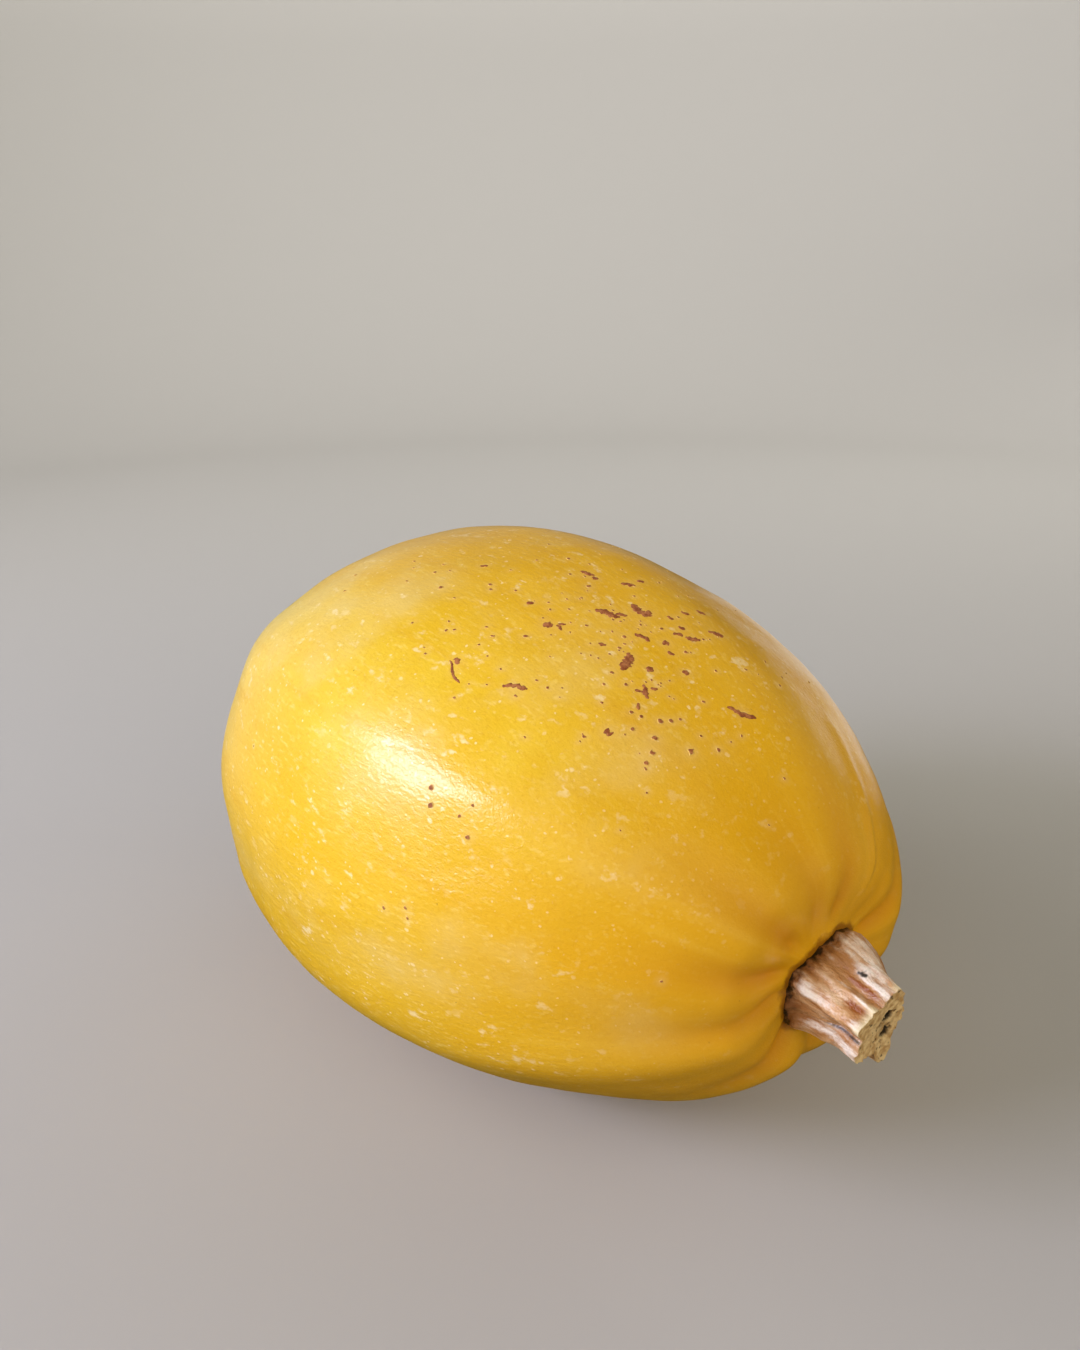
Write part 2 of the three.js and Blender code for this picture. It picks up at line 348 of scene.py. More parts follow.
def rind_finish(length):
    """Waxy yellow rind: a golden ground, paler towards the blossom, partly its own tone and partly a painted
    sheen, and deeper towards the stem, partly its own tone and partly painted shade, mottled and finely
    streaked lengthwise, with cream flecks, pores with pale rims, and a thin grey bloom in places. Painted
    shade also deepens the +Y side away from the light, the lower half, the valleys and the pleats. The
    length is the way over the skin from the stem to the blossom."""
    gloss = {"Coat Weight": 0.55, "Coat Roughness": 0.21, "Specular IOR Level": 0.2}
    rind = Finish("waxy_rind", gloss, RIND_COLOURS)
    grain = rind.attribute("grain")
    streaks = rind.attribute("streaks")
    from_stem = rind.add("SeparateXYZ", {0: grain}, "Z")
    place = rind.add("SeparateXYZ", {0: rind.add("TexCoord", {}, "Object")}, "Y").node
    sideways, height = place.outputs["Y"], place.outputs["Z"]
    along = rind.between(from_stem, 0.010, 0.080, 0.15, 1.0)  # the skin is plainer by the stem

    # Ground: paler on top at the blossom's end, partly the rind's own tone and partly a painted sheen of the
    # window light; deeper near the stem, partly its own tone and partly painted shade; painted shade, deeper
    # in colour, on the +Y side away from the light and below half height; and painted shade in the valleys
    # between the ribs
    mottle = rind.noise(grain, 0.040, detail=3)
    rind.ground(rind.between(mottle, 0.35, 0.65), "gold", "light gold")
    # Paler on top at the blossom's end: partly the rind's own tone, partly a painted sheen of the window
    # light
    pale_end_and_sheen = rind.between(from_stem, 0.45 * length, 0.95 * length)
    pale_end_and_sheen = rind.times(pale_end_and_sheen, rind.between(height, 0.055, 0.085, 0.25, 0.95))
    rind.lay(pale_end_and_sheen, "pale end and sheen")
    # Painted shade: deeper colour on the +Y side, away from the light. Near the stem the deeper colour is
    # partly the rind's own tone and partly painted shade
    shaded_far_side = rind.between(rind.math("ADD", sideways, rind.times(mottle, 0.03)), -0.035, 0.055)
    deep_end = rind.between(from_stem, 0.40 * length, 0.02 * length, 0.0, 0.8)
    rind.lay(rind.times(rind.math("MAXIMUM", deep_end, shaded_far_side), 0.7), "ripe and shaded")
    # Painted shade: deeper colour below half height
    rind.lay(rind.between(height, 0.066, 0.046, 0.0, 0.62), "low side shade")
    # Painted shade: deeper colour in the valleys between the ribs
    valley_shade = rind.between(rind.attribute("ribbed", "Fac"), 0.75, 0.10)
    valley_shade = rind.times(valley_shade, rind.between(mottle, 0.3, 0.7, 0.15, 0.45))
    rind.lay(valley_shade, "valley_shade")

    # Lengthwise streaks, broad and fine, and fine speckles
    broad = rind.noise(rind.stretched(streaks, 8), 0.006, detail=3)
    rind.lay(rind.between(broad, 0.52, 0.75, 0.0, 0.35), "light streak")
    rind.lay(rind.between(broad, 0.48, 0.25, 0.0, 0.30), "dark streak")
    fine = rind.noise(rind.stretched(grain, 4), 0.0010, detail=3)
    thick = rind.between(rind.noise(grain, 0.014, detail=3), 0.35, 0.62, 0.35, 1.0)  # fibres lie in drifts
    fibres = rind.times(rind.between(fine, 0.52, 0.74, 0.0, 0.50), rind.times(along, thick))
    rind.lay(fibres, "fibre")
    speckle = rind.noise(grain, 0.0009, detail=2)
    rind.lay(rind.between(speckle, 0.50, 0.25, 0.0, 0.28), "speckle")

    # Thin grey bloom in soft patches, on the upper part of the -Y side
    bloom = rind.between(rind.noise(grain, 0.035, detail=5), 0.45, 0.70, 0.0, 0.52)
    near_side = rind.between(sideways, 0.0, -0.045, 0.15, 1.0)
    near_side = rind.times(near_side, rind.between(height, 0.052, 0.066))
    rind.lay(rind.times(bloom, near_side), "bloom")

    # Cream flecks, crowded in places and fewer by the stem: soft pinpricks, rounder flecks, and patches
    # drawn out along the fruit. Here and there is a small dark prick mark.
    ragged = rind.wandering(grain, 0.0012, 0.0004)
    pinpricks = rind.times(rind.spots(rind.stretched(ragged, 1.3), *PINPRICKS), along)
    rind.lay(rind.times(pinpricks, 0.58), "pinprick")
    crowd = rind.times(rind.between(rind.noise(grain, 0.012, detail=4), 0.40, 0.60, 0.2, 1.0), along)
    flecks = rind.spots(rind.stretched(ragged, 1.4), *FLECKS)
    rind.lay(rind.times(flecks, rind.times(crowd, 0.70)), "fleck")
    smears = rind.noise(rind.stretched(ragged, 2.0), 0.0030, detail=3, roughness=0.6)
    patches = rind.times(rind.between(smears, 0.585, 0.71, 0.0, 0.85), crowd)
    rind.lay(patches, "patch")
    rind.lay(rind.times(rind.spots(ragged, *PRICK_MARKS), 0.6), "prick mark")

    # Deeper colour laid over the flecks too: at the stem's end, partly the rind's own tone and partly painted
    # shade, and on the +Y side, painted shade away from the light
    ripest_and_shaded = rind.math("MAXIMUM", rind.times(deep_end, 0.72), rind.times(shaded_far_side, 0.35))
    rind.lay(ripest_and_shaded, "ripest_and_shaded")

    # Pores: a dark point in a pale rim
    rind.lay(rind.times(rind.spots(grain, *PORE_RIMS), 0.55), "pore rim")
    pores = rind.spots(grain, *PORES)
    rind.lay(rind.times(pores, 0.85), "pore")

    # Skin next to a scab is drier and paler, pleats are darker with painted shade, and the skin just round
    # the foot is browner
    callus = rind.attribute("callus", "Fac")
    rind.lay(rind.times(callus, 0.35), "callus")
    # Painted shade: deeper colour in the pleats
    rind.lay(rind.times(rind.attribute("crease_shade", "Fac"), 0.6), "crease_shade")
    frayed = rind.times(rind.noise(grain, 0.003, detail=3), -0.003)
    brown_edge = rind.math("ADD", rind.attribute("beyond_foot", "Fac"), frayed)
    rind.lay(rind.between(brown_edge, 0.0004, -0.0012, 0.0, 0.8), "seat")

    # The blossom's scar is dry cork, and the belly is pale where it lay on the ground
    scar = rind.between(from_stem, length - 0.0065, length - 0.0035)
    cork = rind.mix(rind.noise(grain, 0.001), rind.colours["dark cork"], rind.colours["light cork"])
    rind.colour = rind.mix(scar, rind.colour, cork)
    lain = rind.math("ADD", height, rind.times(rind.noise(grain, 0.02, detail=4), 0.012))
    rind.lay(rind.between(lain, 0.008, 0.003, 0.0, 0.7), "belly")

    roughness = rind.between(rind.noise(grain, 0.012, detail=4), 0.3, 0.7, 0.38, 0.50)
    roughness = rind.math("ADD", roughness, rind.times(rind.math("ADD", callus, scar), 0.2))

    # Relief: waves drawn out along the fruit, fine orange peel, and pits at the pores
    waves = rind.times(rind.noise(rind.stretched(grain, 2.5), 0.0010, detail=2), along)
    normal = rind.relief(waves, 0.00012)
    normal = rind.relief(rind.noise(grain, 0.0005, detail=2), 0.00006, normal)
    normal = rind.relief(rind.math("SUBTRACT", 1.0, pores), 0.00012, normal)
    return rind.done(roughness, normal)


rings = skin(ring_places, ring_angles)
stem_pole = skin(1.0, 0.0)
blossom_pole = skin(-1.0, 0.0)
fruit = make_piece("squash_skin", *closed_surface(rings, stem_pole, blossom_pole))

steps = np.linalg.norm(np.diff(rings, axis=0), axis=-1).mean(1)
from_stem = np.cumsum([np.linalg.norm(rings[0] - stem_pole, axis=-1).mean(), *steps])[:, None]
meridian = from_stem[-1, 0] + np.linalg.norm(rings[-1] - blossom_pole, axis=-1).mean()
turn = np.radians(ring_angles)


def wrapped(radius):
    """The skin's own coordinates (r cos a, r sin a, distance from the stem along the skin)."""
    columns = np.broadcast_arrays(radius * np.cos(turn), radius * np.sin(turn), from_stem)
    return np.stack(columns, axis=-1)


# What the rind reads at each point: its own coordinates, on the fruit's radius for round marks and on a
# constant one for streaks, and how far it is up a rib and down a pleat, which lay painted shade in the
# valleys and the pleats
store(fruit, "grain", wrapped(girth(ring_places)), (0, 0, 0), (0, 0, meridian))
store(fruit, "streaks", wrapped(HALF_GIRTH), (HALF_GIRTH, 0, 0), (HALF_GIRTH, 0, meridian))
tallest = max(height for angle, height in RIBS)
store(fruit, "ribbed", bells(ring_angles, RIBS, 1.2 * RIB_WIDTH) / tallest + 0 * ring_places, 0, 0)
deepest = max(depth for angle, depth in PLEATS)
store(fruit, "crease_shade", pleat_depth(ring_places, ring_angles) / deepest, 0, 0)
fruit.data.materials.append(rind_finish(meridian))
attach(fruit, "root")
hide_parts("squash_body")

# Scabs
# Rubs and insect bites on the upper side healed over with thin brown cork: ragged strokes up to 8 mm long,
# mostly running along the fruit, and a scatter of dots. They stand a little proud of the skin.

SCABS = [  # (angle, place, heading, length, width): a heading of 0 points to the stem, and 90 round and up
    (94, 0.326, -29, 0.0064, 0.0020), (92, 0.345, -50, 0.0028, 0.0012), (88, 0.350, 0, 0.0060, 0.0020),
    (87, 0.368, 35, 0.0026, 0.0014), (105, 0.282, -20, 0.0024, 0.0018), (104, 0.305, 15, 0.0024, 0.0008),
    (103, 0.300, -50, 0.0018, 0.0007), (101, 0.470, 57, 0.0052, 0.0023), (99, 0.460, 20, 0.0030, 0.0018),
    (93, 0.426, -17, 0.0042, 0.0013), (86, 0.452, -43, 0.0024, 0.0012), (84, 0.475, -50, 0.0036, 0.0014),
    (84, 0.438, -19, 0.0018, 0.0012), (78, 0.473, -48, 0.0034, 0.0014), (77, 0.480, 10, 0.0022, 0.0010),
    (90, 0.463, -36, 0.0016, 0.0016), (103, 0.547, 28, 0.0042, 0.0011), (104, 0.540, -33, 0.0020, 0.0008),
    (101, 0.550, -60, 0.0016, 0.0010), (107, 0.566, 35, 0.0020, 0.0007), (88, 0.669, -42, 0.0068, 0.0014),
    (120, 0.373, -27, 0.0058, 0.0013), (124, 0.240, 24, 0.0080, 0.0007), (122, 0.222, 10, 0.0022, 0.0013),
    (88, 0.167, -21, 0.0042, 0.0014), (88, 0.195, -12, 0.0018, 0.0013), (84, 0.254, -50, 0.0036, 0.0015),
    (81, 0.254, -73, 0.0020, 0.0011), (91, 0.218, -75, 0.0014, 0.0014), (103, 0.193, -30, 0.0018, 0.0011),
    (98, 0.507, 0, 0.0018, 0.0014), (92, 0.547, -14, 0.0017, 0.0013), (80, 0.397, -34, 0.0022, 0.0009),
    (84, 0.400, -24, 0.0019, 0.0008), (76, 0.400, -28, 0.0026, 0.0010), (101, 0.400, -34, 0.0019, 0.0010),
    (91, 0.491, -9, 0.0018, 0.0008), (100, -0.035, -40, 0.0022, 0.0011),
]
DOTS = [  # (angle, place, width)
    (110, -0.035, 0.0010), (116, 0.105, 0.0006), (118, 0.125, 0.0006), (117, 0.140, 0.0006),
    (114, 0.225, 0.0006), (117, 0.225, 0.0005), (110, 0.279, 0.0009), (96, 0.407, 0.0009),
    (99, 0.428, 0.0008), (105, 0.475, 0.0008), (105, 0.514, 0.0008), (116, 0.573, 0.0013),
    (106, 0.613, 0.0011), (104, 0.623, 0.0009), (102, 0.629, 0.0006), (110, 0.633, 0.0010),
    (113, 0.651, 0.0010), (116, 0.658, 0.0009), (117, 0.664, 0.0007), (106, 0.688, 0.0011),
    (100, 0.711, 0.0008), (112, 0.596, 0.0007), (88, 0.502, 0.0008), (88, 0.423, 0.0007),
    (144, 0.375, 0.0010), (147, 0.390, 0.0010), (143, 0.469, 0.0006), (149, 0.485, 0.0009),
    (146, 0.454, 0.0006), (170, 0.358, 0.0006), (168, 0.407, 0.0006), (170, 0.415, 0.0005),
    (120, -0.309, 0.0007), (68, 0.602, 0.0007), (72, 0.629, 0.0007), (53, 0.574, 0.0005),
    (166, 0.848, 0.0005), (127, 0.469, 0.0005), (106, -0.240, 0.0008), (107, -0.120, 0.0008),
    (112, -0.150, 0.0006), (115, -0.370, 0.0007), (104, -0.140, 0.0007), (105, -0.090, 0.0006),
    (108, -0.200, 0.0006), (111, 0.040, 0.0005), (104, 0.060, 0.0009), (105, 0.080, 0.0008),
    (85, -0.030, 0.0007), (87, 0.080, 0.0009), (92, 0.040, 0.0006), (91, 0.150, 0.0007),
    (120, 0.030, 0.0005),
]
TINY_DOTS = 110  # scattered about the scabs
SCATTER = [(100, 17), (0.42, 0.19)]  # mean and spread of their angles and of their places
TINY_WIDTHS = (0.0003, 0.0006)  # the least and the greatest
DOT_SHAPE = (1.4, 1.25)  # length and width of a dot with its pale rim, in widths of the dot
TINY_DOT_SHAPE = (1.8, 1.4)
LONGEST_DOT = 0.0015  # marks longer than this are made with a stroke's rows of points
LONGEST_RIMMED = 0.0016  # marks shorter than this have a rim of pale healed skin
STROKE_ROWS = 26
DOT_ROWS = 9
SCAB_POINTS = 10  # in a row
SCAB_RISE = 0.00016
SCAB_EDGE = (0.0017, 0.5)  # over this length, an edge comes and goes by this share of the width
SCAB_WANDER = 0.06  # share of its length by which a scab strays to its side
CALLUS_REACH = (0.0005, 0.8)  # dry skin reaches this far round a mark, and this share of its width further
CORK_COLOURS = {"dark": "8c4a26", "light": "b27240", "crack": "6b3519", "healed": "dcb45c"}


def scab(angle, place, heading, length, width, seed):
    """A ragged lens of cork laid on the skin, and its heart: 1 all over a stroke, and from 1 on top of a dot
    to 0 at its edge. Along its line, u runs from -1 to 1, and round its section v runs through 360 degrees:
    across = w(u) cos v and up = rise sin v, both shrinking to 0 at the ends as (1 - u^2)^0.4, with
    w(u) = width / 2 made uneven on each side. The line wanders a little sideways."""
    random = np.random.default_rng(seed)
    rows = STROKE_ROWS if length > LONGEST_DOT else DOT_ROWS
    u = np.cos(np.pi * np.arange(1, rows)[:, None] / rows)
    v = np.radians(np.arange(SCAB_POINTS)[None, :] * 360 / SCAB_POINTS)
    fullness = (1 - u**2) ** 0.4
    line = np.stack([u * length, 0 * u, 0 * u], -1)
    edge_length, share = SCAB_EDGE
    one_side = 1 + share * unevenness(line, edge_length, seed)
    other_side = 1 + share * unevenness(line, edge_length, seed + 999)
    half_width = width / 2 * fullness * np.where(np.cos(v) > 0, one_side, other_side).clip(0.35, 1.5)
    wander = length * SCAB_WANDER * np.sin(2.5 * u + random.uniform(0, 6)) * fullness
    across = half_width * np.cos(v) + wander
    along = -u * length / 2 + 0 * v
    up = SCAB_RISE * fullness * np.sin(v)

    # Metres that a point of the skin moves for each unit of place and for each degree
    per_place = (skin(place + 0.005, angle) - skin(place - 0.005, angle)) / 0.01
    per_degree = skin(place, angle + 0.5) - skin(place, angle - 0.5)
    outward = np.cross(per_degree, per_place)
    outward = outward / np.linalg.norm(outward)
    course = np.radians(heading)
    ahead = along * np.cos(course) - across * np.sin(course)
    round_it = along * np.sin(course) + across * np.cos(course)
    places = place + ahead / np.linalg.norm(per_place)
    angles = angle + round_it / np.linalg.norm(per_degree)
    rings = skin(places, angles) + outward * up[..., None]
    heart = fullness * np.sin(v) if length < LONGEST_RIMMED else np.ones(across.shape)
    return *closed_surface(rings, rings[0].mean(0), rings[-1].mean(0)), np.append(heart, [0, 0])


def cork_finish():
    """Dry reddish-brown cork, darker in its cracks, with a rim of pale healed skin round each dot."""
    cork = Finish("dry_cork", {"Specular IOR Level": 0.3}, CORK_COLOURS)
    where = cork.add("TexCoord", {}, "Object")
    worn = cork.noise(where, 0.0011, detail=3)
    cork.ground(cork.between(worn, 0.35, 0.65), "dark", "light")
    cracks = cork.noise(where, 0.0004, detail=2)
    cork.lay(cork.between(cracks, 0.50, 0.35, 0.0, 0.5), "crack")
    healed = cork.between(cork.attribute("heart", "Fac"), 0.80, 0.45)
    cork.lay(healed, "healed")
    return cork.done(cork.between(worn, 0.3, 0.7, 0.6, 0.8), cork.relief(cracks, 0.00010))


scatter = np.random.default_rng(7)
tiny = scatter.normal(*zip(*SCATTER), size=(TINY_DOTS, 2))
tiny_widths = TINY_WIDTHS[0] + (TINY_WIDTHS[1] - TINY_WIDTHS[0]) * scatter.random(TINY_DOTS) ** 2
marks = [*SCABS]
for angle, place, width in DOTS:
    marks.append((angle, place, 0, DOT_SHAPE[0] * width, DOT_SHAPE[1] * width))
for (angle, place), width in zip(tiny, tiny_widths):
    marks.append((angle, place, 0, TINY_DOT_SHAPE[0] * width, TINY_DOT_SHAPE[1] * width))
scab_vertices, scab_faces, hearts = [], [], []
for seed, mark in enumerate(marks):
    vertices, faces, heart = scab(*mark, seed)
    first = sum(map(len, scab_vertices))
    scab_faces += [[first + corner for corner in face] for face in faces]
    scab_vertices.append(vertices)
    hearts.append(heart)
scabs = make_piece("skin_scabs", np.concatenate(scab_vertices), scab_faces)
attribute = scabs.data.attributes.new("heart", "FLOAT", "POINT")
attribute.data.foreach_set("value", np.concatenate(hearts))
scabs.data.materials.append(cork_finish())
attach(scabs, "root")

# The skin's callus round each mark is exp(-(d / reach)^2), d being the distance from the mark's middle
callus = np.zeros(rings.shape[:2])
for angle, place, heading, length, width in marks:
    away = np.linalg.norm(rings - skin(place, angle), axis=-1)
    callus = np.maximum(callus, np.exp(-((away / (CALLUS_REACH[0] + CALLUS_REACH[1] * width)) ** 2)))
store(fruit, "callus", callus, 0, 0)

# Stem
# The woody stalk that the fruit hung from, grown fast to the fruit and cut short with a knife. It has six
# ribs, one of them split lengthwise, that flare into a crusty foot, deep grooves, and a pale, pitted,
# ragged cut.

STEM_LENGTH = 0.0165
STEM_TURN = (-4.5, 3.7)  # degrees from +X: sideways to +Y, and down
CUT_TURN = (0, 6.5)  # the same for the way that the knife's cut faces
STEM_OFFSET = (0, -0.0004, -0.0024)  # from the end of the fruit's axis
STEM_SUNK = 0.07  # share of its length by which the foot runs into the fruit
STEM_FOOT_RADIUS = 0.0090  # in the grooves between the ribs
STEM_CUT_RADIUS = 0.0064
STEM_RIBS = [  # (angle, height at the foot, height at the cut, width in degrees)
    (68, 0.0008, 0.0022, 23), (125, 0.0001, 0.0008, 7), (150, 0.0008, 0.0014, 16), (164, 0.0004, 0.0014, 11),
    (228, 0.0026, 0.0019, 24), (287, 0.0020, 0.0058, 17), (350, 0.0016, 0.0004, 19),
]
GROOVES = [  # (angle, depth, width in degrees, share of the length where it begins)
    (190, 0.0004, 6, 0.30), (111, 0.0005, 7, 0.20), (138, 0.0003, 7, 0.45), (262, 0.0005, 5, 0.2),
    (322, 0.0005, 5, 0.2),
]
GROOVE_RUN = 0.45  # share of the length over which a groove deepens
SWELLINGS = [  # (angle, share of the length, height, width in degrees, width in shares)
    (157, 0.20, 0.0012, 13, 0.13), (36, 0.25, 0.0042, 25, 0.42), (192, 0.00, 0.0016, 14, 0.10),
    (222, 0.12, 0.0005, 14, 0.13), (300, 0.20, 0.0008, 14, 0.13), (112, 0.00, -0.0011, 40, 0.30),
    (190, 0.70, -0.0006, 5, 0.28), (212, 1.00, 0.0011, 13, 0.14),
]
# Pale places are partly rubbed bark and partly painted highlights; browner places are stains
WEAR_AND_HIGHLIGHTS = [  # (angle, share of the length, width in degrees, width in shares, how pale; below 0 it is browner)
    (154, 0.20, 9, 0.13, 1.1), (157, 0.42, 6, 0.16, 0.6), (156, 0.92, 8, 0.16, 0.8),
    (84, 0.58, 9, 0.13, 0.9), (91, 0.88, 9, 0.18, 1.1), (120, 0.52, 3, 0.14, 0.8),
    (125, 0.82, 3.5, 0.2, 0.8), (206, 0.30, 9, 0.2, 0.5), (204, 0.55, 9, 0.16, 0.6),
    (209, 0.85, 12, 0.2, 1.0), (60, 0.28, 20, 0.25, 0.7), (101, 0.76, 5, 0.26, -1.3),
    (66, 0.72, 16, 0.26, 0.7), (138, 0.80, 7, 0.2, -1.2), (116, 0.42, 6, 0.16, -0.4),
    (181, 0.20, 8, 0.16, -0.6), (172, 0.50, 5, 0.13, -0.6),
]
CRACK_SHADE = [(193, 1)]  # painted shade in a thin drying crack: (angle, darkness)
CRACK_WIDTH = 1.7
CRACK_START = (0.3, 0.7)  # shares of the length between which it darkens from nothing
CRACK_END = (1.02, 0.95)  # and the same from its other end, at the cut
BARK = [  # unevenness of the bark: (height, length, how many times longer along the stem, seed)
    (0.00017, 0.0018, 6, 31), (0.00005, 0.0008, 4, 32), (0.00022, 0.0040, 1.5, 30), (0.00004, 0.0006, 1, 34),
]
CRUST = (0.00018, 0.0014, 33)  # height, length and seed of the crust near the foot
CRUST_RUN = (0.35, -0.02)  # shares of the length over which it thickens
RIM_WAVES = [(0.00012, 0.0024, 35), (0.00005, 0.0009, 36)]  # height, length and seed of the cut's outline,
CUT_GRAIN = [(0.00007, 0.0016, 37), (0.00004, 0.0007, 40)]  # of its rough face,
TORN_RIM = (0.00025, 0.0016, 38)  # and of its torn rim
RIM_START = 0.90  # share of the length, and of the way out to the rim, where the rim's unevenness begins
FOOT_SPREAD = 0.5  # share of the length below which the bark follows the skin
CUT_HOLLOW = 0.0004
HOLE_DEPTH = 0.0016
HOLE_SLIMNESS = 0.8  # width against height
HOLE_EDGE = (0.35, 0.0012, 39)  # how far an edge strays, as a share of the radius, over what length, and seed
SOOT_EDGE = (0.5, 0.0009, 41)  # the same
CREST_WIDTH = 14  # width in degrees of what the finish takes for a rib's crest
PITH_HOLES = [  # (side, up, radius)
    (0.0020, 0.0013, 0.0016), (0.0022, -0.0029, 0.0018), (-0.0008, -0.0040, 0.0006),
    (-0.0002, 0.0006, 0.0005), (0.0012, -0.0050, 0.0005),
]
SOOT_SPOTS = [  # (angle, share of the length, radius)
    (90, 0.60, 0.0007), (91, 0.54, 0.0004), (178, 0.72, 0.0006), (168, 0.02, 0.0010), (135, 0.0, 0.0012),
    (112, -0.02, 0.0013),
]
GRAIN_RADIUS = 0.008  # the bark's own coordinates lie on a cylinder of this radius
BARK_RADIUS = 0.0085  # mean radius of the bark, by which degrees round it are turned into metres
BARK_ROWS = 120
CUT_ROWS = 44
STEM_POINTS = 320


def stem_radius(share, angle):
    """From the foot, share 0, to the cut, share 1: cut + (foot - cut)(1 - share)^1.5, plus bells for the ribs
    and the swellings on them, and less bells for the grooves, which deepen towards the cut."""
    opened = np.clip(1 - share, 0, 1) ** 1.5
    radius = STEM_CUT_RADIUS + (STEM_FOOT_RADIUS - STEM_CUT_RADIUS) * opened
    for centre, at_foot, at_cut, width in STEM_RIBS:
        radius = radius + bells(angle, [(centre, 1)], width) * (at_cut + (at_foot - at_cut) * opened)
    for centre, depth, width, start in GROOVES:
        deepened = smooth_step(share, start, start + GROOVE_RUN)
        radius = radius - bells(angle, [(centre, depth)], width) * deepened
    for centre, place, height, width, reach in SWELLINGS:
        radius = radius + bells(angle, [(centre, height)], width) * np.exp(-(((share - place) / reach) ** 2))
    return radius


def pointing(sideways, down):
    """Unit vector (cos d cos s, cos d sin s, -sin d)."""
    s, d = np.radians([sideways, down])
    return np.array([np.cos(d) * np.cos(s), np.cos(d) * np.sin(s), -np.sin(d)])


foot = skin(1.0, 0.0) + STEM_OFFSET
stem_axis = pointing(*STEM_TURN)
cut_normal = pointing(*CUT_TURN)

# Rows from the middle of the cut, out to its rim, along the bark, and, in two more, in under the foot
cut_reach = np.linspace(0, 1, CUT_ROWS + 2)[1:-1]
bark_share = np.linspace(1, -STEM_SUNK, BARK_ROWS)
share = np.concatenate([np.ones(CUT_ROWS), bark_share, [-STEM_SUNK] * 2])[:, None]
reach = np.concatenate([cut_reach, np.ones(BARK_ROWS), [0.8, 0.3]])[:, None]
stem_angle = np.arange(STEM_POINTS)[None, :] * 360 / STEM_POINTS
stem_turn = np.radians(stem_angle)


def ring_axes(share):
    """Sideways and upward unit vectors of the ring at that share: its normal turns evenly from +X at the
    seat to the cut's."""
    normal = (1 - share) * np.array([1.0, 0, 0]) + share * cut_normal
    normal = normal / np.linalg.norm(normal, axis=-1, keepdims=True)
    side = np.array([0, 1.0, 0]) - normal[..., 1:2] * normal
    side = side / np.linalg.norm(side, axis=-1, keepdims=True)
    return side, np.cross(normal, side)


fibre_map = np.stack(np.broadcast_arrays(
    GRAIN_RADIUS * np.cos(stem_turn), GRAIN_RADIUS * np.sin(stem_turn), STEM_LENGTH * share), axis=-1)
rim_map = fibre_map * [1, 1, 0]
radius = stem_radius(share, stem_angle)
for height, length, longer, seed in BARK:
    radius = radius + height * unevenness(fibre_map / [1, 1, longer], length, seed)
height, length, seed = CRUST
radius = radius + height * unevenness(fibre_map, length, seed) * smooth_step(share, *CRUST_RUN)
for height, length, seed in RIM_WAVES:
    radius = radius + height * unevenness(rim_map, length, seed) * smooth_step(share, RIM_START, 1)
side, up = ring_axes(share)
cut_side = radius * reach * np.cos(stem_turn)
cut_up = radius * reach * np.sin(stem_turn)
stem_points = foot + (share * STEM_LENGTH * stem_axis)[:, None, :]
stem_points = stem_points + cut_side[..., None] * side[:, None, :] + cut_up[..., None] * up[:, None, :]

# The foot spreads over the skin that it grew from: near the seat, its rows follow the skin's own depth
off_axis = stem_points - skin(1.0, 0.0)
far_out = np.hypot(off_axis[..., 1] / (1 + WIDER), off_axis[..., 2] / (1 - WIDER))
under_foot = (1 - (far_out / (HALF_GIRTH * (1 + TAPER))) ** BLUNTNESS_AT_STEM) ** 0.5
under_angle = np.degrees(np.arctan2(off_axis[..., 2], off_axis[..., 1]))
skin_depth = skin(under_foot, under_angle)[..., 0] - skin(1.0, 0.0)[0]
stem_points[..., 0] += skin_depth * smooth_step(share, FOOT_SPREAD, 0)

# The cut is hollowed, pitted and ragged at its rim
cut_map = np.stack([cut_side, cut_up, 0 * cut_up], axis=-1)
relief = sum(height * unevenness(cut_map, length, seed) for height, length, seed in CUT_GRAIN)
relief = relief - CUT_HOLLOW * (1 - reach**3)
height, length, seed = TORN_RIM
relief = relief + height * unevenness(rim_map, length, seed) * smooth_step(reach, RIM_START, 1)
holes = np.zeros(cut_side.shape)
stray, length, seed = HOLE_EDGE
for hole_side, hole_up, hole_radius in PITH_HOLES:
    away = np.hypot(cut_side - hole_side, HOLE_SLIMNESS * (cut_up - hole_up))
    away = away + stray * hole_radius * unevenness(cut_map, length, seed)
    holes = np.maximum(holes, 1 - smooth_step(away / hole_radius, 0.3, 1))
relief = relief - HOLE_DEPTH * holes
stem_points = stem_points + (relief * smooth_step(share, 0.96, 1))[..., None] * cut_normal
stem = make_piece("woody_stem", *closed_surface(stem_points, stem_points[0].mean(0), stem_points[-1].mean(0)))

# How far each point of the skin lies beyond the foot's edge, for the browner band round it
from_foot = rings[..., 1:] - foot[1:]
foot_angle = np.degrees(np.arctan2(from_foot[..., 1], from_foot[..., 0]))
beyond_foot = np.linalg.norm(from_foot, axis=-1) - stem_radius(0.0, foot_angle) + (ring_places < 0)
store(fruit, "beyond_foot", beyond_foot, -0.01, 1)

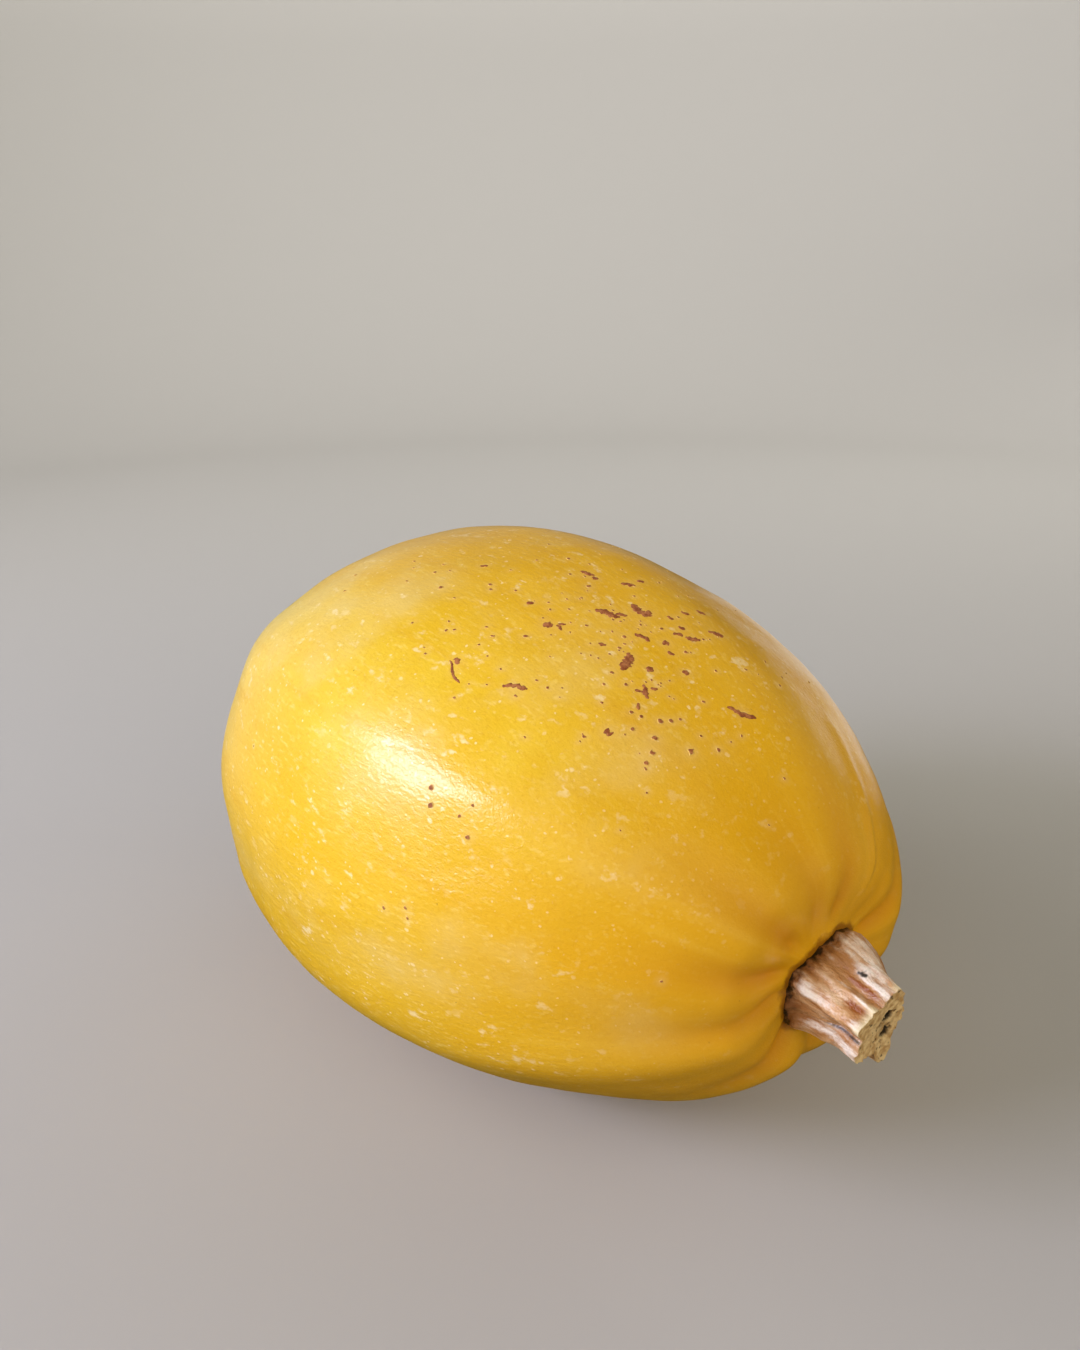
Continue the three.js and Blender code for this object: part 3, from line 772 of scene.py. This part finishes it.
# What the stem's material reads at each point: how black it is, with soot on the bark and painted shade in
# the cut's pith holes, its own coordinates, how near it is to a rib's crest, how pale or brown it is, the
# pale being partly wear and partly painted highlights, and whether it is on the cut or in the crack, whose
# dark line is painted shade
soot_and_hole_shade = np.zeros(cut_side.shape)
stray, length, seed = SOOT_EDGE
for centre, place, size in SOOT_SPOTS:
    round_it = BARK_RADIUS * np.radians((stem_angle - centre + 180) % 360 - 180)
    away = np.hypot(round_it, STEM_LENGTH * (share - place) * 0.8)
    away = away + stray * size * unevenness(fibre_map, length, seed)
    soot_and_hole_shade = np.maximum(soot_and_hole_shade, 1 - smooth_step(away, 0.4 * size, size))
# Black: soot spots on the bark, and painted shade in the pith holes of the cut
blackened = np.maximum(soot_and_hole_shade * (reach == 1), smooth_step(holes, 0.1, 0.4) * (share == 1))
store(stem, "soot_and_hole_shade", blackened, 0, 0)
store(stem, "fibre", fibre_map, (0, 0, STEM_LENGTH), (0, 0, 0))
ribbed = bells(stem_angle, [(rib[0], 1) for rib in STEM_RIBS], CREST_WIDTH).clip(0, 1)
store(stem, "ribbed", ribbed + 0 * share, 0, 0)
worn = 0 * share
for centre, place, width, reach_along, paleness in WEAR_AND_HIGHLIGHTS:
    round_it = bells(stem_angle, [(centre, paleness)], width)
    worn = worn + round_it * np.exp(-(((share - place) / reach_along) ** 2))
store(stem, "worn", worn, 0, 0)
on_cut = (share == 1) * smooth_step(reach, 1.03, 0.96)
store(stem, "cut", on_cut + 0 * stem_turn, 1, 0)
crack_shade = bells(stem_angle, CRACK_SHADE, CRACK_WIDTH)
crack_shade = crack_shade * smooth_step(share, *CRACK_START) * smooth_step(share, *CRACK_END)
store(stem, "crack_shade", crack_shade, 0, 0)

WOOD_COLOURS = {
    "brown tan": "ad7440", "tan": "cd9a62", "pale fibre": "e8c89c", "dark fibre": "8a5226",
    "groove and shade": "9a622c", "silvery rib": "e2c4a0", "worn": "f6e9d8", "stained": "904a06", "fleck": "7c4c22",
    "crack": "2a190d", "foot": "70401c", "black edge": "20130a", "rim": "efe0b4", "dark straw": "b08850",
    "straw": "dcbd86", "pore": "4a3618", "soot_and_hole_shade": "150e08",
}
CUT_PORES = (0.0010, 0.00040, 0.85, 0.0001)  # spacing, largest radius, share that shows, soft edge


def stem_finish():
    """Dry tan wood: pale silvery ribs, partly painted sheen, reddish-brown grooves, partly painted shade,
    pale rubbed places, partly painted highlights, lengthwise fibres, a dark line of painted shade in its
    crack, a brown edge at the foot with black specks, and a straw-coloured cut with dark pores, painted shade
    in its pith holes and a cream rim."""
    gloss = {"Coat Weight": 0.35, "Coat Roughness": 0.28, "Specular IOR Level": 0.4}
    wood = Finish("dry_stalk", gloss, WOOD_COLOURS)
    fibre = wood.attribute("fibre")
    ribbed = wood.attribute("ribbed", "Fac")
    along = wood.add("SeparateXYZ", {0: fibre}, "Z")
    where = wood.add("TexCoord", {}, "Object")

    # Bark: blotched tan with fibres along it, browner in its grooves, partly with painted shade, and silvery
    # on its ribs, partly with painted sheen
    fine = wood.noise(wood.stretched(fibre, 5), 0.0011, detail=4, roughness=0.6)
    blotch = wood.noise(wood.stretched(fibre, 1.8), 0.0045, detail=3)
    grain = wood.noise(fibre, 0.0005, detail=2)
    wood.ground(wood.between(blotch, 0.35, 0.65), "brown tan", "tan")
    wood.lay(wood.between(fine, 0.45, 0.70, 0.0, 0.5), "pale fibre")
    wood.lay(wood.between(fine, 0.48, 0.30, 0.0, 0.5), "dark fibre")
    # Browner in the grooves: partly the bark's own colour, partly painted shade
    wood.lay(wood.between(ribbed, 0.7, 0.15, 0.0, 0.5), "groove and shade")
    # Pale on the ribs' crests: partly pale bark, partly painted sheen
    rib_pale_and_sheen = wood.times(wood.between(ribbed, 0.7, 1.0), wood.between(fine, 0.42, 0.60, 0.1, 0.5))
    rib_pale_and_sheen = wood.times(rib_pale_and_sheen, wood.between(blotch, 0.40, 0.60))
    wood.lay(rib_pale_and_sheen, "silvery rib")

    # Places that are pale, partly rubbed bark and partly painted highlights, or stained brown, with edges
    # made uneven by the fibres and the grain
    uneven = wood.math("SUBTRACT", wood.times(fine, 2.2), wood.times(grain, 0.6))
    uneven = wood.math("SUBTRACT", uneven, 0.8)
    worn = wood.math("ADD", wood.attribute("worn", "Fac"), uneven)
    # Pale places: partly rubbed bark, partly painted highlights
    wood.lay(wood.between(worn, 0.1, 1.2, 0.0, 0.95), "worn")
    wood.lay(wood.between(worn, -0.1, -1.0, 0.0, 0.95), "stained")
    wood.lay(wood.between(grain, 0.45, 0.30, 0.0, 0.25), "fleck")
    # Painted shade: a dark line in the drying crack
    crack_shade = wood.times(wood.attribute("crack_shade", "Fac"), wood.between(fine, 0.35, 0.5, 0.5, 1.0))
    wood.lay(crack_shade, "crack")

    # The crumbling foot is brown, then black at its very edge, and the bark pales at the rim of the cut
    crumbs = wood.math("SUBTRACT", wood.noise(fibre, 0.0016, detail=4, roughness=0.6), 0.5)
    foot_edge = wood.math("ADD", along, wood.times(crumbs, 0.006))
    wood.lay(wood.between(foot_edge, 0.0036, 0.0006, 0.0, 0.85), "foot")
    wood.lay(wood.between(foot_edge, 0.0012, 0.0002, 0.0, 0.95), "black edge")
    rim_edge = wood.math("ADD", along, wood.times(blotch, 0.0024))
    rim = wood.between(rim_edge, STEM_LENGTH - 0.0014, STEM_LENGTH + 0.0010, 0.0, 0.8)
    rim = wood.times(rim, wood.between(ribbed, 0.4, 1.0, 0.1, 1.0))
    wood.lay(rim, "rim")

    # The cut
    cut = wood.attribute("cut", "Fac")
    patchy = wood.between(wood.noise(where, 0.0016, detail=4), 0.35, 0.65)
    straw = wood.mix(patchy, wood.colours["dark straw"], wood.colours["straw"])
    pores = wood.spots(wood.wandering(where, 0.0008, 0.0003), *CUT_PORES)
    straw = wood.mix(wood.times(pores, 0.8), straw, wood.colours["pore"])
    wood.colour = wood.mix(cut, wood.colour, straw)
    # Black soot spots on the bark, and painted shade in the cut's pith holes
    wood.lay(wood.times(wood.attribute("soot_and_hole_shade", "Fac"), 0.95), "soot_and_hole_shade")

    # The cut is dull, and the paler a fibre, the more it shines
    roughness = wood.between(fine, 0.3, 0.7, 0.50, 0.34)
    roughness = wood.math("MAXIMUM", roughness, wood.times(cut, 0.8))
    normal = wood.relief(fine, 0.00025)
    normal = wood.relief(grain, 0.00018, normal)
    normal = wood.relief(wood.math("SUBTRACT", 1.0, wood.times(pores, cut)), 0.00015, normal)
    return wood.done(roughness, normal)


stem.data.materials.append(stem_finish())
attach(stem, "root")
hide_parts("stem")

# Studio
# A bowl of pale paper that sweeps up all round the squash, and soft lights, of which the gloss shows only
# the key and two dim cards. The camera stands a hand's breadth above the fruit and looks down at the stem.

SWEEP_FLAT = 0.95  # radius of the flat floor
SWEEP_CURVE = 0.45  # radius of the curve from floor to wall
SWEEP_HEIGHT = 1.5
LIGHTS = [  # (name, azimuth and elevation seen from the fruit, distance, width, height, watts)
    ("key", -106, 28, 1.1, 0.52, 0.22, 5.1),
    ("window", -125, 26, 1.15, 0.9, 1.0, 3.95),
    ("room", -35, 38, 1.05, 1.2, 0.9, 2.95),
    ("far_side", 80, 24, 1.05, 1.2, 0.8, 2.55),
    ("low_fill", 5, 12, 1.15, 1.2, 0.4, 1.6),
    ("far_card", 101, -1, 0.27, 0.19, 0.09, 0.030),
    ("back_card", 145, 12, 0.55, 0.50, 0.22, 0.052),
]
TINTS = {"key": (0.92, 0.93, 1.22), "low_fill": (1.0, 0.82, 0.45)}
MIRRORED = ["key", "far_card", "back_card"]  # the other lights are too soft to show in the rind's gloss
SPREAD = 140  # degrees over which these lights shine, so that their edges draw no lines on the paper
WALL_LIGHT_PLACE = (142, 0.35, 1.25)  # azimuth, distance out and height: it lights the paper behind
WALL_LIGHT = (12, 1.4, 0.4, 21.5)  # degrees that it tips down, width, height, watts
ROOM_COLOUR = (1.0, 0.8, 0.15, 1.0)  # faint light from all round, as warm as the fruit's own glow
ROOM_STRENGTH = 0.07
CAMERA_PLACE = (0.2075, -0.1616, 0.2078)
CAMERA_TURN = 52.87  # degrees from looking along +Y, anticlockwise
CAMERA_PITCH = 22
CAMERA_ROLL = -0.85
LENS = 28.8

curve = np.radians(np.linspace(0, 90, 25))
sweep_radius = SWEEP_FLAT + SWEEP_CURVE * np.sin(curve)
sweep_radius = np.concatenate([[0.02, 0.3], sweep_radius, sweep_radius[-1:]])
sweep_height = np.concatenate([[0, 0], SWEEP_CURVE * (1 - np.cos(curve)), [SWEEP_HEIGHT]])
sweep_turn = np.radians(np.arange(0, 360, 3))[None, :]
sweep_rings = np.stack(np.broadcast_arrays(
    sweep_radius[:, None] * np.cos(sweep_turn), sweep_radius[:, None] * np.sin(sweep_turn),
    sweep_height[:, None]), axis=-1)
quads, grid, turned = ring_quads(sweep_rings)
sweep = make_piece("paper_sweep", sweep_rings.reshape(-1, 3), [*quads.tolist(), grid[0].tolist()])
paper = Finish("pale_paper", {"Base Color": paint("aeaba5"), "Roughness": 0.9, "Specular IOR Level": 0.2})
sweep.data.materials.append(paper.material)
sweep.visible_glossy = False  # the rind's gloss shows the key light and a dim room, but not the paper
sweep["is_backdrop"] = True

fruit_middle = Vector((cad_low + cad_high) / 2)


def soft_light(name, place, azimuth, elevation, width, height, watts):
    """A rectangular light at a place, shining the opposite way to the direction given by its angles."""
    lamp = bpy.data.lights.new(name, "AREA")
    lamp.shape = "RECTANGLE"
    lamp.size = width
    lamp.size_y = height
    lamp.energy = watts
    lamp.color = TINTS.get(name, (1, 1, 1))
    light = bpy.data.objects.new(name, lamp)
    turned = Matrix.Rotation(np.radians(azimuth + 90), 4, "Z")
    tipped = Matrix.Rotation(np.radians(90 - elevation), 4, "X")
    light.matrix_world = Matrix.Translation(place) @ turned @ tipped
    light.visible_camera = False
    light.visible_glossy = name in MIRRORED
    light.visible_diffuse = not name.endswith("card")
    bpy.context.scene.collection.objects.link(light)
    return lamp


def direction(azimuth, elevation):
    """Unit vector (cos e cos a, cos e sin a, sin e)."""
    a, e = np.radians([azimuth, elevation])
    return Vector((np.cos(e) * np.cos(a), np.cos(e) * np.sin(a), np.sin(e)))


for name, azimuth, elevation, distance, width, height, watts in LIGHTS:
    place = fruit_middle + distance * direction(azimuth, elevation)
    soft_light(name, place, azimuth, elevation, width, height, watts).spread = np.radians(SPREAD)
azimuth, out, height = WALL_LIGHT_PLACE
behind = out * direction(azimuth, 0) + Vector((0, 0, height))
soft_light("wall", behind, azimuth + 180, *WALL_LIGHT)

world = bpy.data.worlds.new("room_light")
world.use_nodes = True
world.node_tree.nodes["Background"].inputs["Color"].default_value = ROOM_COLOUR
world.node_tree.nodes["Background"].inputs["Strength"].default_value = ROOM_STRENGTH
bpy.context.scene.world = world
bpy.context.scene.view_settings.view_transform = "Standard"

camera_data = bpy.data.cameras.new("camera")
camera_data.sensor_width = 36
camera_data.lens = LENS
camera_data.clip_start = 0.01
camera = bpy.data.objects.new("camera", camera_data)
bpy.context.scene.collection.objects.link(camera)
turned = Matrix.Rotation(np.radians(CAMERA_TURN), 4, "Z")
tipped = Matrix.Rotation(np.radians(90 - CAMERA_PITCH), 4, "X")
rolled = Matrix.Rotation(np.radians(CAMERA_ROLL), 4, "Z")
camera.matrix_world = Matrix.Translation(CAMERA_PLACE) @ turned @ tipped @ rolled
bpy.context.scene.camera = camera

size = {"cad_box": [list(corner) for corner in cad_box]}
size["visual_box"] = [list(corner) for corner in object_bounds()]
